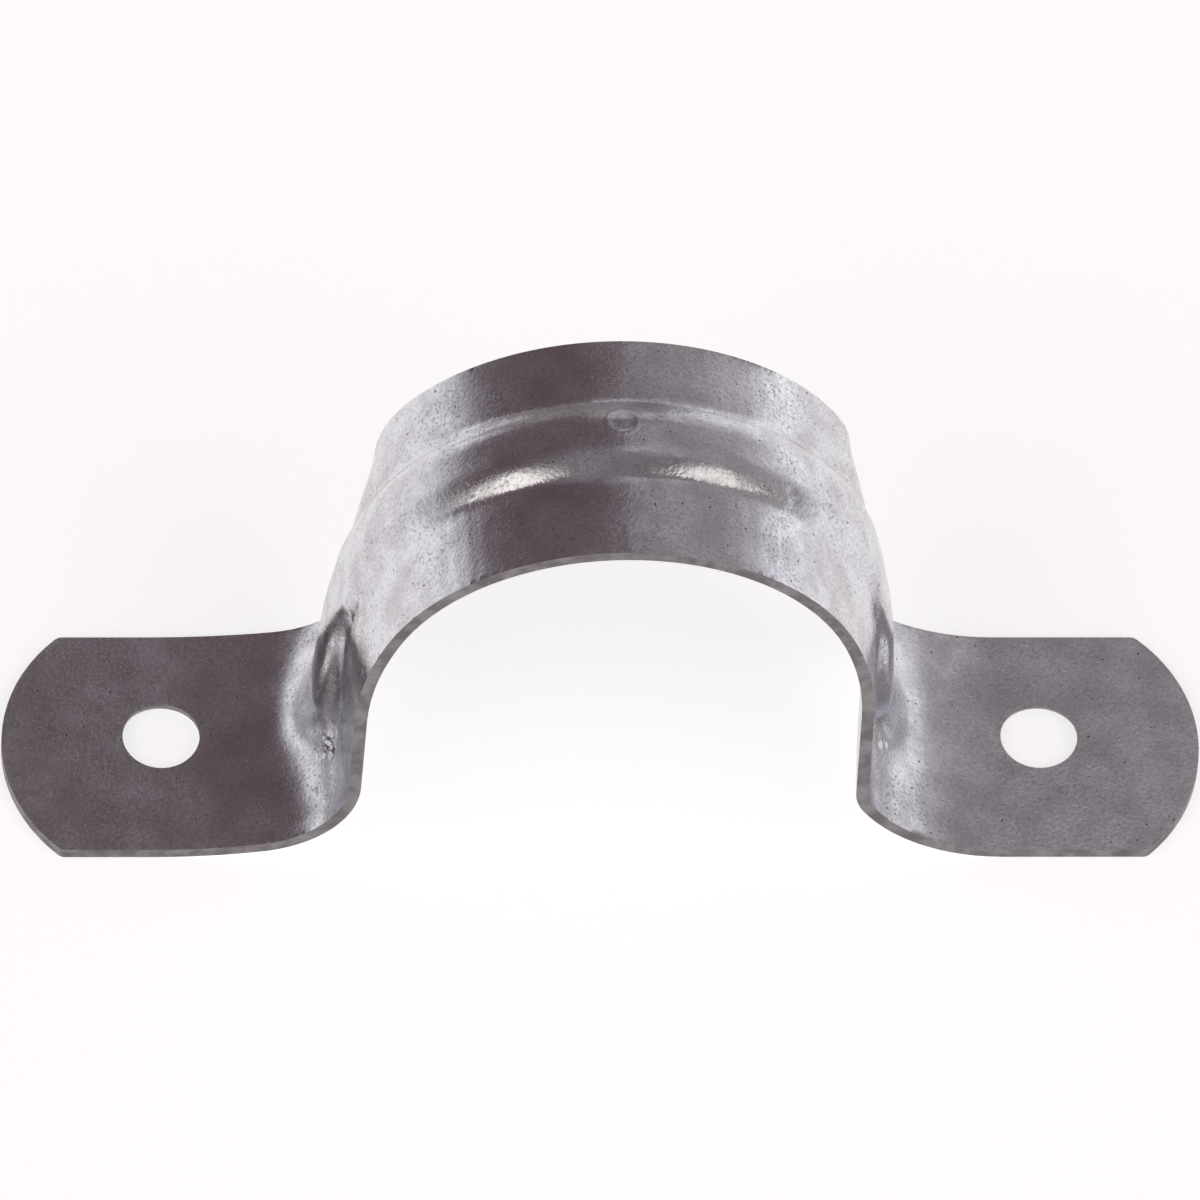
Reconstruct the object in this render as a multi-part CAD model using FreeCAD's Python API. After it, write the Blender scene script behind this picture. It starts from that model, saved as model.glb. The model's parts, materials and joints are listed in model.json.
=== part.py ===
import FreeCAD
import Part
import math
import os

# Two-hole strap that holds one-inch rigid steel conduit against a wall.
# It is one strip of galvanised sheet steel: an arch over the conduit, two feet with
# a screw hole each, and one stiffening bead pressed outward along the whole arch.
# The bead is low over the crown, deepens down each side and becomes a rib that
# bridges the corner between leg and foot.
#
# Frame: X along the strap, Y across the strip (along the conduit), Z away from the wall.
# The undersides of the feet lie on z = 0, and x = 0 is the middle of the arch.
# Sizes are in millimetres, angles in degrees.

# ---- conduit and strip ----
conduit_diameter = 33.4
crown_grip = 0.38            # the crown is bent to a smaller radius than the conduit's
crown_gap = 2.0              # room left above a conduit that touches the wall
strip_width = 17.7
sheet = 0.86

# ---- feet, reaching out from the conduit's side ----
foot_reach = 24.35
foot_end_radius = 11.8
foot_end_shift = -0.1        # the end arcs are struck a little toward the front edge
corner_radius = 0.6
hole_diameter = 5.28
hole_reach = 13.4
hole_shift = 0.6             # the holes sit a little toward the back edge
hole_land = 0.3              # depth that the punch shears clean
hole_break = 0.26            # the metal below breaks out wider by this much all round

# ---- legs, on the inner side of the sheet ----
# splay is the slope at which a leg leaves the crown arc, and side the straight run that
# follows. shoulder is the radius, in crown radii, that turns it to its final slope, lean.
# heel is the radius that starts the bend into the foot, struck from bend above the wall,
# and a wider arc carries on to the foot, which is flat from flat_reach beyond the
# conduit's side. At the back edge the crown arc ends back_splay sooner and the shoulder
# is back_shoulder times as large, which squares the arch a little there.
left_leg = dict(
    splay=22.0, side=0.22, shoulder=1.47, lean=0.4, heel=7.8, bend=8.36, flat_reach=14.05,
    back_splay=17.7, back_shoulder=0.44,
)
right_leg = dict(
    splay=18.1, side=0.22, shoulder=1.43, lean=0.7, heel=4.05, bend=7.6, flat_reach=10.53,
    back_splay=12.4, back_shoulder=0.29,
)
leg_bow = 0.46               # the arch is drawn out sideways this much along the bead
back_bow = 0.3               # and this much at its back edge,
back_drop = 0.2              # where the crown lies lower by this much

# ---- bead, also on the inner side of the sheet ----
bead_shift = 0.57            # the bead runs a little behind the middle of the strip
bead_width = 6.3             # from crease to crease
bead_top = 2.0               # its flat top
bead_height = 0.8            # over the crown
flank_slope = 20.0           # sets how much narrower the bead is inside than outside
left_rib = dict(splay=13.4, side=5.6, shoulder=0.93, lean=4.4, heel=4.6, bend=5.2)
right_rib = dict(splay=9.7, side=6.2, shoulder=1.31, lean=3.0, heel=4.6, bend=5.4)

# ---- how the arch is lofted ----
margin_steps = 4             # sections across the margin on each side of the bead
flank_steps = 5              # across each flank of the bead
top_steps = 2                # and across its top
loft_degree = 2

crown_radius = conduit_diameter / 2 - crown_grip
crown_centre_z = conduit_diameter + crown_gap - crown_radius
half_width = strip_width / 2
half_length = conduit_diameter / 2 + foot_reach
hole_x = conduit_diameter / 2 + hole_reach
flank_inset = sheet * math.tan(math.radians(flank_slope))


def blend(low, high, weight):
    return low + (high - low) * weight


def bead_weight(y, inset):
    """0 beside the bead, a rise with a crease at its foot, and 1 on its top."""
    reach = abs(y - bead_shift)
    top = bead_top / 2 - inset
    foot = bead_width / 2 - inset
    share = min(max((foot - reach) / (foot - top), 0.0), 1.0)
    return math.sin(math.pi / 2 * share)


def along_bead(y):
    """1 over the middle of the bead, falling smoothly to 0 at the edges of the strip."""
    share = min(abs(y - bead_shift) / (half_width + bead_shift), 1.0)
    return 0.5 + 0.5 * math.cos(math.pi * share)


def toward_back(y):
    """0 as far as the middle of the bead, rising smoothly to 1 at the back edge."""
    share = max((y - bead_shift) / (half_width - bead_shift), 0.0)
    return 0.5 - 0.5 * math.cos(math.pi * share)


def foot_start(leg):
    """Where a leg's bend has flattened into its foot."""
    return conduit_diameter / 2 + leg["flat_reach"]


def along(angle):
    """Direction of a leg that slopes outward by this angle on its way down."""
    return FreeCAD.Vector(math.sin(angle), 0, -math.cos(angle))


def away(angle):
    """Direction square to such a leg, out of the arch."""
    return FreeCAD.Vector(math.cos(angle), 0, math.sin(angle))


def arc_span(centre, radius, first, last):
    """Start, middle and end of an arc between two directions from its centre."""
    middle = first + last
    middle.normalize()
    return [centre + first * radius, centre + middle * radius, centre + last * radius]


def leg_spans(leg, rib, y, offset, inset):
    """One leg's outline at y from the crown down to the flat of the foot.

    Each span is a list of points: two for a straight run, three for an arc.
    """
    weight = bead_weight(y, inset)
    back = toward_back(y)
    bow = leg_bow * along_bead(y) + back_bow * back
    radius = crown_radius + bow + bead_height * weight
    margin_splay = leg["splay"] + leg["back_splay"] * back
    margin_shoulder = leg["shoulder"] * blend(1.0, leg["back_shoulder"], back)
    splay = math.radians(blend(margin_splay, rib["splay"], weight))
    lean = math.radians(blend(leg["lean"], rib["lean"], weight))
    shoulder = blend(margin_shoulder, rib["shoulder"], weight) * crown_radius
    heel = blend(leg["heel"], rib["heel"], weight)
    side = blend(leg["side"], rib["side"], weight)
    bend_height = blend(leg["bend"], rib["bend"], weight)

    crown_centre = FreeCAD.Vector(0, y, crown_centre_z - bow - back_drop * back)
    crown_end = crown_centre + away(splay) * radius
    side_end = crown_end + along(splay) * side
    shoulder_centre = side_end - away(splay) * shoulder
    shoulder_end = shoulder_centre + away(lean) * shoulder

    # The heel arc touches the leg. The wider arc touches the heel arc, and the wall where
    # the foot starts, which settles its radius.
    heel_top = shoulder_end + away(lean) * heel
    run = (heel_top.z - bend_height) / math.cos(lean)
    heel_centre = heel_top + along(lean) * run
    reach = foot_start(leg) - heel_centre.x
    arch = (reach ** 2 + bend_height ** 2 - heel ** 2) / (2 * (bend_height - heel))
    arch_centre = FreeCAD.Vector(foot_start(leg), y, arch)
    toward = heel_centre - arch_centre
    toward.normalize()

    up = FreeCAD.Vector(0, 0, 1)
    crown = arc_span(crown_centre, radius + offset, up, away(splay))
    bend = arc_span(shoulder_centre, shoulder + offset, away(splay), away(lean))
    turn = arc_span(heel_centre, heel - offset, away(lean) * -1, toward)
    rise = arc_span(arch_centre, arch - offset, toward, up * -1)
    return [crown, [crown[-1], bend[0]], bend, [bend[-1], turn[0]], turn, rise]


def mirrored(point):
    return FreeCAD.Vector(-point.x, point.y, point.z)


def skin_spans(y, offset, inset):
    """One side of the sheet at y, from the left foot over the crown to the right foot."""
    spans = []
    for span in reversed(leg_spans(left_leg, left_rib, y, offset, inset)):
        spans.append([mirrored(point) for point in reversed(span)])
    return spans + leg_spans(right_leg, right_rib, y, offset, inset)


def edge(span):
    if len(span) == 3:
        return Part.Arc(*span).toShape()
    return Part.LineSegment(*span).toShape()


def section(y):
    """The strip's closed section in the plane at y."""
    outer = skin_spans(y, sheet, 0.0)
    inner = skin_spans(y, 0.0, flank_inset)
    right_end = [outer[-1][-1], inner[-1][-1]]
    left_end = [inner[0][0], outer[0][0]]
    returning = [list(reversed(span)) for span in reversed(inner)]
    return Part.Wire([edge(span) for span in outer + [right_end] + returning + [left_end]])


def loft_across(first, last, steps):
    """Arch between two places across the strip, through sections evenly spaced."""
    sections = [section(blend(first, last, step / steps)) for step in range(steps + 1)]
    return Part.makeLoft(sections, True, False, False, loft_degree)


def make_arch():
    """The arch and both bends: the front margin, the bead in three lofts, the back margin."""
    top = bead_top / 2 - flank_inset
    foot = bead_width / 2
    front_margin = loft_across(-half_width, bead_shift - foot, margin_steps)
    front_flank = loft_across(bead_shift - foot, bead_shift - top, flank_steps)
    bead_crest = loft_across(bead_shift - top, bead_shift + top, top_steps)
    back_flank = loft_across(bead_shift + top, bead_shift + foot, flank_steps)
    back_margin = loft_across(bead_shift + foot, half_width, margin_steps)
    return [front_margin, front_flank, bead_crest, back_flank, back_margin]


def make_foot(side, inner_x):
    """Flat foot from the end of the bend, at inner_x, to its rounded end."""
    arc_x = half_length - foot_end_radius
    back = math.sqrt(foot_end_radius ** 2 - (half_width - foot_end_shift) ** 2)
    front = math.sqrt(foot_end_radius ** 2 - (half_width + foot_end_shift) ** 2)
    corners = [
        FreeCAD.Vector(inner_x, -half_width, 0),
        FreeCAD.Vector(arc_x + front, -half_width, 0),
        FreeCAD.Vector(half_length, foot_end_shift, 0),
        FreeCAD.Vector(arc_x + back, half_width, 0),
        FreeCAD.Vector(inner_x, half_width, 0),
    ]
    if side < 0:
        corners = [mirrored(corner) for corner in corners]
    inner_front, front_corner, tip, back_corner, inner_back = corners
    outline = Part.Wire([
        Part.LineSegment(inner_front, front_corner).toShape(),
        Part.Arc(front_corner, tip, back_corner).toShape(),
        Part.LineSegment(back_corner, inner_back).toShape(),
        Part.LineSegment(inner_back, inner_front).toShape(),
    ])
    foot = Part.Face(outline).extrude(FreeCAD.Vector(0, 0, sheet))
    outer_corners = []
    for line in foot.Edges:
        upright = line.BoundBox.ZLength > sheet / 2
        if upright and abs(line.CenterOfMass.x) > inner_x + corner_radius:
            outer_corners.append(line)
    return foot.makeFillet(corner_radius, outer_corners)


def make_hole(side):
    """What the punch and the break-out below it remove from a foot."""
    underside = FreeCAD.Vector(side * hole_x, hole_shift, 0)
    radius = hole_diameter / 2
    below = underside - FreeCAD.Vector(0, 0, sheet)
    punched = Part.makeCylinder(radius, 4 * sheet, below)
    broken = Part.makeCone(radius + hole_break, radius, sheet - hole_land, underside)
    return punched.fuse(broken)


def make_strap():
    feet = [make_foot(-1, foot_start(left_leg)), make_foot(1, foot_start(right_leg))]
    holes = [make_hole(-1), make_hole(1)]
    punched = [piece.cut(holes) for piece in make_arch() + feet]
    return punched[0].fuse(punched[1:])


os.makedirs("parts", exist_ok=True)
strap = make_strap()
strap.exportStep("parts/strap.step")
print("strap:", len(strap.Solids), "solid, valid", strap.isValid(), round(strap.Volume, 2), "mm3")
print(strap.BoundBox)
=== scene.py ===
# %% [markdown]
# # A conduit strap in hot-dip galvanised steel
# The strap is one strip of sheet steel, bent over a conduit and screwed to a wall by its
# two feet. Its shape comes from the CAD model. This lesson turns that shape into pressed
# sheet, gives it its zinc, and sets it on a pale floor in soft studio light.

# %% Load the frame
import json
import math

import bmesh
import bpy
import numpy as np
from mathutils import Matrix, Vector
from mathutils.bvhtree import BVHTree
from mathutils.kdtree import KDTree

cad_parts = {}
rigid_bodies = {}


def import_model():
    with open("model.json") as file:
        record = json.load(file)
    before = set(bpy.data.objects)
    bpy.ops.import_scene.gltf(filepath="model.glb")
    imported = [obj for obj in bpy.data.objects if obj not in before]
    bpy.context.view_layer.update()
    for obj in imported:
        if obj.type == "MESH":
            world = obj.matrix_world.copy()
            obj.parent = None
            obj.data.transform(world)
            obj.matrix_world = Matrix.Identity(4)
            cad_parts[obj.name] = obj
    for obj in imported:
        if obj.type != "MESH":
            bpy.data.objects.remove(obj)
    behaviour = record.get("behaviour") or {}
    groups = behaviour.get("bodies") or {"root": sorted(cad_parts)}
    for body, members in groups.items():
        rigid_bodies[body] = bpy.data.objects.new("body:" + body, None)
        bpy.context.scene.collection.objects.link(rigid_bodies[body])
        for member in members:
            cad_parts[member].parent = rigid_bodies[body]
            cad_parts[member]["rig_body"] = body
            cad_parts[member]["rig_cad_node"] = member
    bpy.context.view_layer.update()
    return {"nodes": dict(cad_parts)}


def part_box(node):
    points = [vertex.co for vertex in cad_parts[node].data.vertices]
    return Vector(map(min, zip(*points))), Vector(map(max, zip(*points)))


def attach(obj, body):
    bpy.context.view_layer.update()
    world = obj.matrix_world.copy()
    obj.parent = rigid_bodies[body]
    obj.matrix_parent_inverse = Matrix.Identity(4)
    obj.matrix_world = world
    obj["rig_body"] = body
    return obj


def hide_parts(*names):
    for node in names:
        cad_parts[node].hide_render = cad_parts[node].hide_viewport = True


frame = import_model()
lowest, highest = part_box("strap")
MM = 0.001

# %% [markdown]
# ## The sheet itself
# The real strap is pressed from one strip, so its skin runs on over the bead and round
# the bends without a seam. It could be modelled again by extruding a side view, but the
# CAD node has the true form already. That node is loose triangles and has to stay as it
# is, so a copy of it is merged into one closed skin to work on.


# %% Merge a copy of the CAD node
def only(obj):
    """Selects obj alone and makes it active."""
    bpy.ops.object.select_all(action="DESELECT")
    obj.select_set(True)
    bpy.context.view_layer.objects.active = obj


strap_node = frame["nodes"]["strap"]
pressed_strip = strap_node.copy()
pressed_strip.data = strap_node.data.copy()
pressed_strip.parent = None
# Without the frame's marks on it, the copy counts as a new piece.
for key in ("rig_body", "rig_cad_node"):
    del pressed_strip[key]
pressed_strip.name = "pressed_strip"
pressed_strip.data.name = "pressed_strip"
bpy.context.scene.collection.objects.link(pressed_strip)

only(pressed_strip)
bpy.ops.object.mode_set(mode="EDIT")
bpy.ops.mesh.select_all(action="SELECT")
bpy.ops.mesh.customdata_custom_splitnormals_clear()
bpy.ops.mesh.remove_doubles(threshold=0.0005 * MM)
bpy.ops.mesh.select_all(action="DESELECT")
bpy.ops.mesh.select_non_manifold()
bpy.ops.object.mode_set(mode="OBJECT")
loose = sum(vertex.select for vertex in pressed_strip.data.vertices)
print("faces:", len(pressed_strip.data.polygons), "open or shared vertices:", loose)

# %% [markdown]
# ## The sheared corners
# Shears and punches leave crisp corners along the rim of the strip, round the ends of the
# feet and round the screw holes. Everything that was bent is soft. The next step makes
# new faces and rounds the corners off, and they would be hard to find again. So their
# lines are read from the exact skin first, as close points in a search tree.

# %% Keep the sheared corners' lines
SHEARED_CORNER = math.radians(38)   # a corner sharper than this was sheared, not bent
CORNER_STEP = 0.03 * MM
FOOT_RIM_X = 26 * MM                # the flat of a foot, with its hole, lies beyond this
FOOT_TOP = 1 * MM                   # and below this
RIM_SLACK = 0.02 * MM
half_width = (highest.y - lowest.y) / 2


def on_sheared_edge(point):
    """On the rim of the strip, on a foot's end, or in a screw hole."""
    on_foot = point.z < FOOT_TOP and abs(point.x) > FOOT_RIM_X
    return on_foot or abs(point.y) > half_width - RIM_SLACK


exact = bmesh.new()
exact.from_mesh(pressed_strip.data)
exact_skin = BVHTree.FromBMesh(exact)
corner_points = []
for edge in exact.edges:
    first, last = (vertex.co for vertex in edge.verts)
    sharp = len(edge.link_faces) == 2 and edge.calc_face_angle(0.0) > SHEARED_CORNER
    if sharp and on_sheared_edge(first) and on_sheared_edge(last):
        steps = max(1, round((last - first).length / CORNER_STEP))
        corner_points += [first.lerp(last, step / steps) for step in range(steps + 1)]
exact.free()
corners = KDTree(len(corner_points))
for index, point in enumerate(corner_points):
    corners.insert(point, index)
corners.balance()
print("points along the sheared corners:", len(corner_points))

# %% [markdown]
# ## Small even faces
# Pressed sheet has no facets, and polished metal shows every long thin triangle of a CAD
# mesh as a streak. Smoother normals could be borrowed from a finer mesh, but such faces
# are too sparse to carry them. So the skin is remeshed into small even faces. Each point
# then goes back to the exact skin, or onto a corner's line where one is near, and a few
# passes of smoothing soften the creases, as a press leaves them.

# %% Remesh the sheet
EVEN_FACE = 0.268 * MM


def apply_modifier(kind, **settings):
    """Adds a modifier to the sheet, fills in its settings and applies it."""
    modifier = pressed_strip.modifiers.new(kind.lower(), kind)
    for name, value in settings.items():
        setattr(modifier, name, value)
    bpy.ops.object.modifier_apply(modifier=modifier.name)


only(pressed_strip)
apply_modifier("REMESH", mode="VOXEL", voxel_size=EVEN_FACE)
print("even faces:", len(pressed_strip.data.polygons))

# %% Put the even faces back on the exact skin and its sheared corners
SNAP = 0.19 * MM             # nearer than this, a point moves onto the corner's line
NEAR_CORNER = 0.45 * MM      # nearer than this, smoothing leaves a point alone
HALFWAY = 0.5                # how far a pass of smoothing moves a point
SKIN_PASSES = 5
moved, softened = [], []
for vertex in pressed_strip.data.vertices:
    target, _, gap = corners.find(vertex.co)
    if gap > SNAP:
        target = exact_skin.find_nearest(vertex.co)[0]
    moved.extend(target)
    if gap > NEAR_CORNER:
        softened.append(vertex.index)
pressed_strip.data.vertices.foreach_set("co", moved)
pressed_strip.data.update()
away_from_corners = pressed_strip.vertex_groups.new(name="skin")
away_from_corners.add(softened, 1.0, "REPLACE")
apply_modifier("SMOOTH", factor=HALFWAY, iterations=SKIN_PASSES, vertex_group="skin")
pressed_strip.vertex_groups.remove(pressed_strip.vertex_groups["skin"])
print("points on the sheared corners and beside them:",
      len(pressed_strip.data.vertices) - len(softened))

# %% [markdown]
# ## Ironing the ribs
# The dies squeeze each rib, and the toe where it runs out into the foot, into one smooth
# flow. In the CAD model several arcs meet there and leave faint ripples. They could be
# sculpted away by hand. A Smooth modifier on a vertex group does it by rule instead, the
# same on every run, and the weights let it fade out at the sides of its box.

# %% Iron the ribs and their toes
BEAD_SHIFT = 0.57 * MM       # the bead runs this much behind the middle of the strip
RIB_HEIGHT = 18 * MM         # the ribs are ironed lightly below this
TOE_HEIGHT = 5.5 * MM        # and their toes strongly below this
FADE = 1.5 * MM


def within(value, low, high):
    """1 between low and high, fading to 0 over a short way outside."""
    return max(0.0, min(1.0, (value - low) / FADE + 1, (high - value) / FADE + 1))


def iron(name, height, inner_x, outer_x, half_span, passes):
    """Smooths the sheet in a box round the bead on both legs."""
    group = pressed_strip.vertex_groups.new(name=name)
    ironed = 0
    for vertex in pressed_strip.data.vertices:
        along, across, up = vertex.co
        weight = within(abs(along), inner_x, outer_x)
        weight *= within(abs(across - BEAD_SHIFT), -math.inf, half_span)
        weight *= within(up, -math.inf, height)
        if weight > 0:
            group.add([vertex.index], weight, "REPLACE")
            ironed += 1
    apply_modifier("SMOOTH", factor=HALFWAY, iterations=passes, vertex_group=name)
    pressed_strip.vertex_groups.remove(pressed_strip.vertex_groups[name])
    print("ironed points at the", name + ":", ironed)


iron("ribs", RIB_HEIGHT, inner_x=17 * MM, outer_x=25 * MM, half_span=6.2 * MM, passes=70)
iron("toes", TOE_HEIGHT, inner_x=19 * MM, outer_x=25.4 * MM, half_span=6.6 * MM, passes=400)

# %% [markdown]
# ## Marks of making
# A round pad holds the strip down in the press and prints a shallow ring on the crown.
# Knocks in the tumbling barrel raise burrs at the toes of the ribs and dent the bead. A
# bump in the material could draw them, but would vanish in outline. Each is a real dent
# or bump, so the skin is divided finely round it and moved along its own normals.

# %% Divide the skin under the pad
PAD_CENTRE = Vector((-0.18, 1.6, 37.04)) * MM
PAD_RADIUS = 1.05 * MM
PAD_RING_WIDTH = 0.22 * MM


def divide_near(centre, radius):
    """Divides each side of the skin's faces near a point in three."""
    only(pressed_strip)
    bpy.ops.object.mode_set(mode="EDIT")
    bpy.ops.mesh.select_mode(type="FACE")
    bpy.ops.mesh.select_all(action="DESELECT")
    bpy.ops.object.mode_set(mode="OBJECT")
    for face in pressed_strip.data.polygons:
        face.select = (face.center - centre).length < radius
    bpy.ops.object.mode_set(mode="EDIT")
    bpy.ops.mesh.subdivide(number_cuts=2, smoothness=0.0, ngon=False)
    bpy.ops.object.mode_set(mode="OBJECT")
    print("faces now:", len(pressed_strip.data.polygons))


divide_near(PAD_CENTRE, PAD_RADIUS + 2 * PAD_RING_WIDTH)

# %% The pad's print
PAD_RING_HEIGHT = 0.022 * MM
PAD_DEPTH = 0.02 * MM


def reshape(height_at):
    """Moves the skin along its own normals by a height worked out from every place."""
    mesh = pressed_strip.data
    places = np.zeros(len(mesh.vertices) * 3)
    mesh.vertices.foreach_get("co", places)
    normals = np.zeros(len(mesh.vertices) * 3)
    mesh.vertex_normals.foreach_get("vector", normals)
    places, normals = places.reshape(-1, 3), normals.reshape(-1, 3)
    heights = height_at(places)
    places += normals * heights[:, None]
    mesh.vertices.foreach_set("co", places.ravel())
    mesh.update()
    print("moved from", round(heights.min() / MM, 3), "to", round(heights.max() / MM, 3), "mm")


def pad_print(places):
    """The pad's round mark: a slight hollow inside a raised ring."""
    gap = np.linalg.norm(places - np.array(PAD_CENTRE), axis=1)
    ring = np.exp(-((gap - PAD_RADIUS) / PAD_RING_WIDTH) ** 2)
    return PAD_RING_HEIGHT * ring - PAD_DEPTH * (gap < PAD_RADIUS) * (1 - ring)


reshape(pad_print)

# %% Knocks
# In millimetres: the centre, the radius of the skin that is divided, and small round dabs,
# each with its offset across and up, its radius and its height. A dent has a minus sign.
KNOCKS = {
    "burr at the left toe": ((-18.9, -3.5, 5.7), 1.5, (
        (0.5, 0.3, 0.24, 0.08), (0.2, 0.15, 0.22, -0.09),
        (-0.2, -0.05, 0.24, 0.08), (-0.7, -0.3, 0.26, 0.07),
        (-0.45, -0.5, 0.2, -0.09), (0.7, 0.0, 0.2, -0.06),
        (-0.1, 0.3, 0.2, -0.06), (-0.9, 0.1, 0.2, -0.06),
    )),
    "nick at the right toe": ((18.9, -3.5, 5.6), 1.1, (
        (0.0, 0.0, 0.22, 0.07), (0.3, -0.2, 0.22, -0.05),
    )),
    "dents on the bead": ((11.27, -1.93, 32.63), 1.6, (
        (0.6, 0.2, 0.3, -0.05), (-0.5, 0.1, 0.35, 0.045), (0.1, -0.3, 0.3, -0.04),
    )),
    "jog in the front crease": ((-0.9, -2.6, 36.2), 1.4, (
        (0.0, 0.0, 0.4, 0.08), (-0.1, 0.5, 0.4, -0.07),
    )),
}
ALONG_SHARE = 0.4            # a dab is drawn out along X, where a gap counts only this much


def dabs_at(centre, dabs):
    """Gives the function that works out a group of dabs' height at every place."""
    def height_at(places):
        total = np.zeros(len(places))
        for across, up, size, height in dabs:
            gap = (places - np.array(centre + Vector((0.0, across, up)) * MM)) / (size * MM)
            spread = (gap[:, 1:] ** 2).sum(1) + (ALONG_SHARE * gap[:, 0]) ** 2
            total += height * MM * np.exp(-spread)
        return total
    return height_at


for name, (centre, radius, dabs) in KNOCKS.items():
    print(name + ":")
    divide_near(Vector(centre) * MM, radius * MM)
    reshape(dabs_at(Vector(centre) * MM, dabs))

# %% [markdown]
# ## The finished mesh
# Light runs smoothly over everything that was bent and breaks only at a sheared corner,
# so the mesh is shaded smooth up to that corner's angle. Marking edges sharp by hand
# would do the same, but one angle does it for all. The mesh is then tied to the body of
# the CAD node, so that it moves with it, and the CAD node itself is hidden.

# %% Shade the strip and tie it to the frame
only(pressed_strip)
bpy.ops.object.shade_smooth_by_angle(angle=SHEARED_CORNER)
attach(pressed_strip, "root")
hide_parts("strap")
triangles = sum(len(face.vertices) - 2 for face in pressed_strip.data.polygons)
print("triangles in the strip:", triangles)

# %% [markdown]
# ## Making a material from nodes
# Nodes could be laid out by hand in the editor, but in code the same few lines make every
# one of them. One helper turns a colour, written as it looks on a screen, into the linear
# light that a shader wants. One starts an empty material. The last adds a node, fills in
# its settings and joins its inputs.


# %% Colours
def linear(hex_colour):
    """sRGB hex colour to the linear RGBA that Blender's nodes take."""
    shades = [int(hex_colour[start:start + 2], 16) / 255 for start in (1, 3, 5)]
    light = [s / 12.92 if s <= 0.04045 else ((s + 0.055) / 1.055) ** 2.4 for s in shades]
    return (*light, 1.0)


print("a grey of #808080 gives back", round(linear("#808080")[0], 3), "of the light")


# %% Nodes
def new_material(name):
    """An empty material."""
    material = bpy.data.materials.new(name)
    material.use_nodes = True
    material.node_tree.nodes.clear()
    return material


def add_node(tree, kind, settings, inputs):
    """Adds a node, sets its properties, and gives each input a value or a link.

    A node that is given as an input stands for its first output.
    """
    node = tree.nodes.new(kind)
    for name, value in settings.items():
        setattr(node, name, value)
    for name, value in inputs.items():
        if isinstance(value, bpy.types.Node):
            value = next(socket for socket in value.outputs if socket.enabled)
        if isinstance(value, bpy.types.NodeSocket):
            tree.links.new(value, node.inputs[name])
        else:
            node.inputs[name].default_value = value
    return node


zinc = new_material("hot_dip_galvanised_steel")
tree = zinc.node_tree
surface = add_node(tree, "ShaderNodeTexCoord", {}, {})
place = surface.outputs["Object"]
print("started the material", zinc.name)

# %% [markdown]
# ## Hot-dip galvanised sheet
# The strip was cut from steel sheet that had run through a bath of molten zinc and was
# then lightly rolled. Zinc is a bluish, slightly violet grey metal. Rolled, it is nearly
# a mirror but for faint dimples, so bright and dark parts of a room lie on it as clear
# patches with soft edges. The rolls leave a salt-and-pepper grain, and handling leaves
# dull rubs and small dark pits. An image of such a surface could be wrapped round, but it
# would stretch and repeat. Noise in the sheet's own space does neither, and each mark has
# its own noise at its own size.

# %% Noise patterns
# The size of the marks in millimetres, the layers of finer noise and their strength. Real
# pepper, grain and frost are finer than a tenth of a millimetre and shear scores finer
# still. They are drawn as coarse as this so that they show.
NOISES = {
    "rubs": (2.6, 3.0, 0.55),
    "patches": (5.0, 2.0, 0.5),
    "pepper": (0.24, 3.0, 0.65),
    "dimples": (1.5, 1.0, 0.5),
    "grain": (0.3, 2.0, 0.55),
    "frost": (0.26, 3.0, 0.7),
    "dullness": (1.3, 4.0, 0.6),
    "flecks": (0.4, 2.0, 0.6),
    "scores": (0.16, 3.0, 0.6),
    "stain": (1.8, 3.0, 0.6),
}
noises = {}
for name, (size_mm, detail, strength) in NOISES.items():
    noises[name] = add_node(tree, "ShaderNodeTexNoise", {"label": name}, {
        "Vector": place, "Scale": 1 / (size_mm * MM), "Detail": detail, "Roughness": strength,
    })
print("noise patterns:", ", ".join(noises))

# %% Masks from the noise
# Where a mark starts and is full in its noise, and what the mask gives at each.
MASKS = {
    "rubs": (0.35, 0.68, 0.0, 1.0),
    "patches": (0.38, 0.6, 0.35, 1.0),
    "pepper": (0.53, 0.68, 0.0, 1.0),
    "frost": (0.42, 0.7, 0.0, 1.0),
    "dullness": (0.3, 0.7, 0.15, 0.27),
    "flecks": (0.45, 0.6, 0.0, 1.0),
    "stain": (0.35, 0.65, 0.0, 1.0),
}
SMOOTH_RANGE = {"interpolation_type": "SMOOTHSTEP"}
TIMES = {"operation": "MULTIPLY"}
masks = {}
for name, (start, full, at_start, at_full) in MASKS.items():
    masks[name] = add_node(tree, "ShaderNodeMapRange", {"label": name, **SMOOTH_RANGE}, {
        "Value": noises[name], "From Min": start, "From Max": full,
        "To Min": at_start, "To Max": at_full,
    })
pepper = add_node(tree, "ShaderNodeMath", TIMES, {0: masks["pepper"], 1: masks["patches"]})
print("masks:", ", ".join(masks))

# %% Pits
PIT_SPACING_MM = 0.62        # one cell of the pattern holds at most one pit
PIT_MM = 0.1                 # radius of the largest pits
PITTED = 0.45                # cells whose red is below this have no pit
PIT_RIM = 0.06               # how softly a pit begins, as a share of a cell
cells = add_node(tree, "ShaderNodeTexVoronoi", {"feature": "F1"}, {
    "Vector": place, "Scale": 1 / (PIT_SPACING_MM * MM), "Randomness": 1.0,
})
chance = add_node(tree, "ShaderNodeSeparateColor", {}, {"Color": cells.outputs["Color"]})
pit_radius = PIT_MM / PIT_SPACING_MM
pit_size = add_node(tree, "ShaderNodeMapRange", SMOOTH_RANGE, {
    "Value": chance.outputs["Red"], "From Min": PITTED, "From Max": 1.0,
    "To Min": 0.0, "To Max": pit_radius,
})
pit_depth = add_node(tree, "ShaderNodeMath", {"operation": "SUBTRACT"}, {
    0: pit_size, 1: cells.outputs["Distance"],
})
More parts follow.
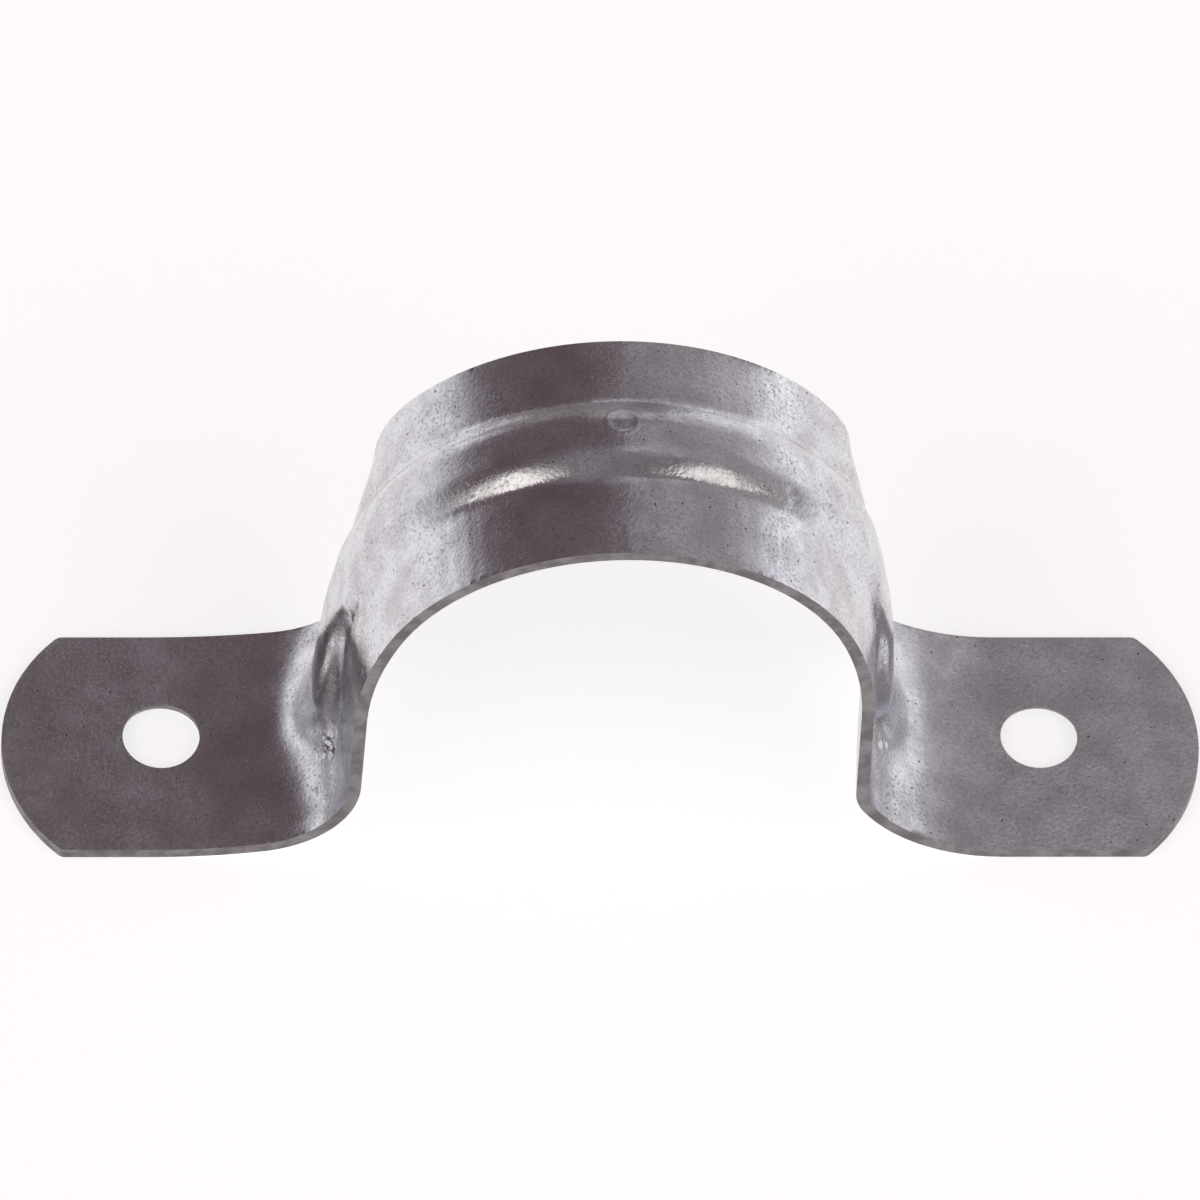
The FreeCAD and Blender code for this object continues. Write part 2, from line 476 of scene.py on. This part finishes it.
pits = add_node(tree, "ShaderNodeMapRange", SMOOTH_RANGE, {
    "Value": pit_depth, "From Min": -0.01, "From Max": PIT_RIM,
})
print("pits per square mm, at most:", round(1 / PIT_SPACING_MM ** 2, 2))

# %% [markdown]
# ## Sheared edges
# Shears cut halfway through a sheet and tear the rest, so its edge is bare steel with
# fine scores, darker, browner and duller than zinc. A second material on picked faces
# would do, but would end in steps. The rim of the strip faces along Y, and the ends and
# holes of the feet stand upright, so a mask made from the place and the direction of the
# surface finds them and fades softly.

# %% Place and direction of the surface
UNSIGNED = {"operation": "ABSOLUTE"}
spot = add_node(tree, "ShaderNodeSeparateXYZ", {}, {"Vector": place})
facing = add_node(tree, "ShaderNodeSeparateXYZ", {}, {"Vector": surface.outputs["Normal"]})
from_middle, turned = {}, {}
for axis in "XYZ":
    from_middle[axis] = add_node(tree, "ShaderNodeMath", UNSIGNED, {0: spot.outputs[axis]})
for axis in "YZ":
    turned[axis] = add_node(tree, "ShaderNodeMath", UNSIGNED, {0: facing.outputs[axis]})
print("the rim lies", round(half_width / MM, 2), "mm from the middle")

# %% Where the sheet was sheared and scuffed
# The burr at the left toe is rubbed dark round this point.
SCUFF_CENTRE = Vector((-18.8, -3.6, 5.8)) * MM
SCUFF_RADIUS = 1.1 * MM
from_scuff = add_node(tree, "ShaderNodeVectorMath", {"operation": "DISTANCE"}, {
    0: place, 1: SCUFF_CENTRE,
}).outputs["Value"]
# What is measured, where the mask begins and ends in it, and what the mask gives at each.
BORDERS = {
    "rim": (from_middle["Y"], half_width - 0.4 * MM, half_width - 0.2 * MM, 0.0, 1.0),
    "sideways": (turned["Y"], 0.72, 0.9, 0.0, 1.0),
    "upright": (turned["Z"], 0.4, 0.65, 1.0, 0.0),
    "foot": (from_middle["Z"], 0.9 * MM, 1.1 * MM, 1.0, 0.0),
    "foot_end": (from_middle["X"], FOOT_RIM_X, FOOT_RIM_X + 1 * MM, 0.0, 1.0),
    "knocked": (from_scuff, 0.5 * SCUFF_RADIUS, SCUFF_RADIUS, 1.0, 0.0),
}
for name, (measure, begin, end, at_begin, at_end) in BORDERS.items():
    masks[name] = add_node(tree, "ShaderNodeMapRange", {"label": name, **SMOOTH_RANGE}, {
        "Value": measure, "From Min": begin, "From Max": end,
        "To Min": at_begin, "To Max": at_end,
    })
LARGER = {"operation": "MAXIMUM"}
rim = add_node(tree, "ShaderNodeMath", TIMES, {0: masks["sideways"], 1: masks["rim"]})
upright = add_node(tree, "ShaderNodeMath", TIMES, {0: masks["upright"], 1: masks["foot"]})
ends = add_node(tree, "ShaderNodeMath", TIMES, {0: upright, 1: masks["foot_end"]})
sheared = add_node(tree, "ShaderNodeMath", LARGER, {0: rim, 1: ends})
scuffs = add_node(tree, "ShaderNodeMath", TIMES, {0: masks["knocked"], 1: masks["flecks"]})
print("masks in all:", len(masks))

# %% [markdown]
# ## The zinc's colour, dullness and relief
# Marks lie over each other on real sheet, and they differ in colour, in gloss and in
# height. One flat grey with a texture on top would look printed. So the colour is built
# in layers, each laid on the one below through its mask, the pepper and the bare steel
# are duller than the skin, and one bump after another adds each pattern's height.

# %% Colours in layers
ZINC = "#E4E5EA"
ZINC_RUBBED = "#CCCBD0"
ZINC_PEPPER = "#8D898C"
ZINC_FROST = "#ABAAAE"
ZINC_PIT = "#5A5457"
BARE_STEEL = "#8F8B8D"
STAINED_STEEL = "#716B6D"
PEPPER_STRENGTH = 0.75
FROST_STRENGTH = 0.5
COLOURS = {"data_type": "RGBA"}
pepper_share = add_node(tree, "ShaderNodeMath", TIMES, {0: pepper, 1: PEPPER_STRENGTH})
frost_share = add_node(tree, "ShaderNodeMath", TIMES, {0: masks["frost"], 1: FROST_STRENGTH})
dark_marks = add_node(tree, "ShaderNodeMath", LARGER, {0: pits, 1: scuffs})
skin_colour = linear(ZINC)
for share, colour in ((masks["rubs"], ZINC_RUBBED), (pepper_share, ZINC_PEPPER),
                      (frost_share, ZINC_FROST), (dark_marks, ZINC_PIT)):
    skin_colour = add_node(tree, "ShaderNodeMix", COLOURS, {
        "Factor": share, "A": skin_colour, "B": linear(colour),
    })
edge_colour = add_node(tree, "ShaderNodeMix", COLOURS, {
    "Factor": masks["stain"], "A": linear(BARE_STEEL), "B": linear(STAINED_STEEL),
})
base_colour = add_node(tree, "ShaderNodeMix", COLOURS, {
    "Factor": sheared, "A": skin_colour, "B": edge_colour,
})
print("colours laid over the zinc:", ZINC_RUBBED, ZINC_PEPPER, ZINC_FROST, ZINC_PIT)

# %% Dullness
PEPPER_DULLER = 0.12
STEEL_ROUGHNESS = 0.42
pepper_rough = add_node(tree, "ShaderNodeMath", TIMES, {0: pepper, 1: PEPPER_DULLER})
skin_rough = add_node(tree, "ShaderNodeMath", {"operation": "ADD"}, {
    0: masks["dullness"], 1: pepper_rough,
})
edge_rough = add_node(tree, "ShaderNodeMath", TIMES, {0: sheared, 1: STEEL_ROUGHNESS})
roughness = add_node(tree, "ShaderNodeMath", LARGER, {0: skin_rough, 1: edge_rough})
print("roughness of the skin from", *MASKS["dullness"][2:], "and of bare steel", STEEL_ROUGHNESS)

# %% Relief
PEPPER_SUNK = 0.3            # how deep the pepper lies beside the pits
pepper_sunk = add_node(tree, "ShaderNodeMath", TIMES, {0: pepper, 1: PEPPER_SUNK})
sunk = add_node(tree, "ShaderNodeMath", LARGER, {0: pits, 1: pepper_sunk})
scored = add_node(tree, "ShaderNodeMath", TIMES, {0: noises["scores"], 1: sheared})
# The pattern, its height in millimetres, and whether it goes inwards.
BUMPS = ((noises["dimples"], 0.012, False), (noises["grain"], 0.015, False),
         (sunk, 0.02, True), (scored, 0.03, False))
relief = None
for height, height_mm, inwards in BUMPS:
    below = {"Normal": relief} if relief else {}
    relief = add_node(tree, "ShaderNodeBump", {"invert": inwards}, {
        "Height": height, "Strength": 1.0, "Distance": height_mm * MM, **below,
    })
print("heights of the bumps in mm:", [height_mm for _, height_mm, _ in BUMPS])

# %% The shader
metal = add_node(tree, "ShaderNodeBsdfPrincipled", {}, {
    "Base Color": base_colour, "Metallic": 1.0, "Roughness": roughness, "Normal": relief,
})
add_node(tree, "ShaderNodeOutputMaterial", {}, {"Surface": metal})
pressed_strip.data.materials.clear()
pressed_strip.data.materials.append(zinc)
print("nodes in the zinc skin:", len(tree.nodes))

# %% [markdown]
# ## Floor
# The strap lies on a wide sheet of white paper, which catches its shadow and is what the
# ribs and the inside of the arch mirror. Stronger lamps could turn the paper white, but
# they would bleach the zinc as well. So the paper glows a little by itself, only where it
# is looked at or mirrored, and its own shading below that glow keeps the strap's shadow.

# %% Floor
FLOOR_WIDTH = 14.0
PAPER = "#EDEDED"
PAPER_GLOW = 0.66
bpy.ops.object.select_all(action="DESELECT")
bpy.ops.mesh.primitive_plane_add(size=FLOOR_WIDTH, location=(0, 0, 0))
floor = bpy.context.active_object
floor.name = "studio_floor"
white_paper = new_material("white_paper_floor")
tree = white_paper.node_tree
paths = add_node(tree, "ShaderNodeLightPath", {}, {})
seen = paths.outputs["Is Camera Ray"]
for other in ("Is Glossy Ray", "Is Transmission Ray"):
    seen = add_node(tree, "ShaderNodeMath", LARGER, {0: seen, 1: paths.outputs[other]})
glow = add_node(tree, "ShaderNodeMath", TIMES, {0: seen, 1: PAPER_GLOW})
paper = add_node(tree, "ShaderNodeBsdfDiffuse", {}, {"Color": linear(PAPER)})
shine = add_node(tree, "ShaderNodeEmission", {}, {"Color": linear("#FFFFFF"), "Strength": glow})
both = add_node(tree, "ShaderNodeAddShader", {}, {0: paper, 1: shine})
add_node(tree, "ShaderNodeOutputMaterial", {}, {"Surface": both})
floor.data.materials.append(white_paper)
print("floor", FLOOR_WIDTH, "m wide, nodes in its paper:", len(tree.nodes))

# %% [markdown]
# ## Room
# Zinc is nearly a mirror, so most of what is seen on it is the room. A studio is white
# low down, where its paper sweeps up, and dim above. A picture of a room could stand in
# for it. A ramp of a few greys by height is simpler, needs no file, and looks the same
# from every side.

# %% World
# How high a direction points, from 0 for level to 1 for straight up, and its shade.
ROOM_SHADES = ((0.02, "#FFFFFF"), (0.1, "#F2F3F7"), (0.2, "#CFCED3"), (0.3, "#8E8589"),
               (0.4, "#6A5C60"), (0.8, "#66585C"), (0.97, "#857E83"))
world = bpy.data.worlds.new("studio_room")
bpy.context.scene.world = world
world.use_nodes = True
tree = world.node_tree
tree.nodes.clear()
direction = add_node(tree, "ShaderNodeTexCoord", {}, {}).outputs["Generated"]
height = add_node(tree, "ShaderNodeSeparateXYZ", {}, {"Vector": direction}).outputs["Z"]
room = add_node(tree, "ShaderNodeValToRGB", {}, {"Fac": height})
stops = room.color_ramp.elements
for stop, (at, colour) in zip(stops, (ROOM_SHADES[0], ROOM_SHADES[-1])):
    stop.position = at
    stop.color = linear(colour)
for at, colour in ROOM_SHADES[1:-1]:
    stops.new(at).color = linear(colour)
background = add_node(tree, "ShaderNodeBackground", {}, {"Color": room, "Strength": 1.0})
add_node(tree, "ShaderNodeOutputWorld", {}, {"Surface": background})
print("shades in the room:", len(stops))

# %% [markdown]
# ## Lamps
# Two large soft lamps stand high at the front left and front right, a pair such as a
# catalogue studio has. They light the paper evenly and give the bead its warm highlights.
# One large lamp overhead would be simpler, but leaves the bead flat.


# %% Lamps
def toward(azimuth, elevation):
    """Unit vector from the strap. Azimuth 0 is +Y, behind it, and grows toward +X."""
    turn, rise = math.radians(azimuth), math.radians(elevation)
    return Vector((math.sin(turn) * math.cos(rise), math.cos(turn) * math.cos(rise),
                   math.sin(rise)))


def hang_lamp(name, location, turned, width, height, watts, colour):
    """Area lamp turned by a rotation matrix. It shines along its own minus Z."""
    lamp = bpy.data.lights.new(name, "AREA")
    lamp.shape = "RECTANGLE"
    lamp.size = width
    lamp.size_y = height
    lamp.energy = watts
    lamp.color = linear(colour)[:3]
    hung = bpy.data.objects.new(name, lamp)
    hung.matrix_world = Matrix.Translation(location) @ turned.to_4x4()
    bpy.context.scene.collection.objects.link(hung)
    print(name, round(lamp.energy, 3), "W at", [round(value, 3) for value in location])
    return hung


LAMP_DISTANCE = 2.0
LAMP_WIDTH = 1.6
LAMP_HEIGHT = 1.2
LAMP_WATTS = 7.0
LAMP_COLOUR = "#FFFAF2"
for name, azimuth, elevation in (("lamp_front_left", -130, 40), ("lamp_front_right", 132, 42)):
    out = toward(azimuth, elevation)
    hang_lamp(name, out * LAMP_DISTANCE, out.to_track_quat("Z", "Y").to_matrix(),
              LAMP_WIDTH, LAMP_HEIGHT, LAMP_WATTS, LAMP_COLOUR)

# %% [markdown]
# ## Cards
# In a studio, pale cards are held near a metal object to give it clean bright fields with
# a sharp border. Here two stand behind the strap. The bands of the crown beside the bead
# mirror them, and each card's left side draws the border between dark and light there.
# Glowing planes would do, but area lamps give a cleaner picture. Only the mirror-like
# skin sees them, so they change nothing else.

# %% Cards
CARD_DISTANCE = 0.25
CARD_HALF_ANGLE = math.radians(33)
CARD_COLOUR = "#F2F3F5"


def hold_card(name, azimuth, elevation, span, radiance):
    """Card with its left side's middle in this direction. It spans this many degrees upwards."""
    left_side, level = toward(azimuth, elevation), toward(azimuth + 90, 0)
    cosine, sine = math.cos(CARD_HALF_ANGLE), math.sin(CARD_HALF_ANGLE)
    out = left_side * cosine + level * sine
    width_axis = level * cosine - left_side * sine
    turned = Matrix((width_axis, out.cross(width_axis), out)).transposed()
    width = 2 * CARD_DISTANCE * math.tan(CARD_HALF_ANGLE)
    height = 2 * CARD_DISTANCE * math.tan(math.radians(span) / 2)
    watts = radiance * width * height * math.pi
    card = hang_lamp(name, out * CARD_DISTANCE, turned, width, height, watts, CARD_COLOUR)
    card.visible_camera = False
    card.visible_diffuse = False


hold_card("card_low", azimuth=-6, elevation=38, span=25, radiance=0.38)
hold_card("card_high", azimuth=8, elevation=67, span=30, radiance=0.26)

# %% [markdown]
# ## Flag
# The rear flank of the bead looks level out at the white foot of the room, and would
# glare. In a studio a flag, a dull card, is held where such a flank looks. Making the
# whole foot of the room darker would dull the shoulders of the arch too, so a small plane
# does it, and only mirror-like skin sees it.

# %% Flag
FLAG_PLACE = (-0.03, 0.2, 0.055)
FLAG_WIDTH = 0.17
FLAG_HEIGHT = 0.1
FLAG_GREY = "#C2BFC2"
bpy.ops.object.select_all(action="DESELECT")
bpy.ops.mesh.primitive_plane_add(size=1.0, location=FLAG_PLACE,
                                 rotation=(math.radians(90), 0, 0))
flag = bpy.context.active_object
flag.name = "grey_flag"
flag.scale = (FLAG_WIDTH, FLAG_HEIGHT, 1.0)
flag.visible_camera = False
flag.visible_diffuse = False
flag.visible_shadow = False
grey_card = new_material("grey_card")
tree = grey_card.node_tree
card_face = add_node(tree, "ShaderNodeBsdfDiffuse", {}, {"Color": linear(FLAG_GREY)})
add_node(tree, "ShaderNodeOutputMaterial", {}, {"Surface": card_face})
flag.data.materials.append(grey_card)
print("flag", FLAG_WIDTH, "by", FLAG_HEIGHT, "m at", FLAG_PLACE)

# %% [markdown]
# ## Camera
# A catalogue view is taken from far away with a long lens, so that the strap shows almost
# without perspective. An orthographic camera would show none at all, which looks drawn.
# The camera stands high in front, a little to the left, and leans slightly to one side.

# %% Camera
LENS_MM = 1400.0
SENSOR_MM = 36.0
CAMERA_DISTANCE = 3.18015
VIEW_AZIMUTH = 5.9397        # the way the camera looks, in degrees
VIEW_ELEVATION = -54.929
CAMERA_ROLL = math.radians(4.866)
AIM = Vector((-0.000871, 0.0, 0.018009))
forward = toward(VIEW_AZIMUTH, VIEW_ELEVATION)
level = toward(VIEW_AZIMUTH + 90, 0)
steep = forward.cross(level)
right = level * math.cos(CAMERA_ROLL) - steep * math.sin(CAMERA_ROLL)
down = level * math.sin(CAMERA_ROLL) + steep * math.cos(CAMERA_ROLL)
camera_data = bpy.data.cameras.new("camera")
camera_data.lens = LENS_MM
camera_data.sensor_width = SENSOR_MM
camera_data.clip_start = 0.5
camera_data.clip_end = 30.0
camera = bpy.data.objects.new("camera", camera_data)
bpy.context.scene.collection.objects.link(camera)
axes = Matrix((right, -down, -forward)).transposed().to_4x4()
camera.matrix_world = Matrix.Translation(AIM - forward * CAMERA_DISTANCE) @ axes
bpy.context.scene.camera = camera
bpy.context.scene.view_settings.view_transform = "Standard"
print("camera at", [round(value, 3) for value in camera.location])
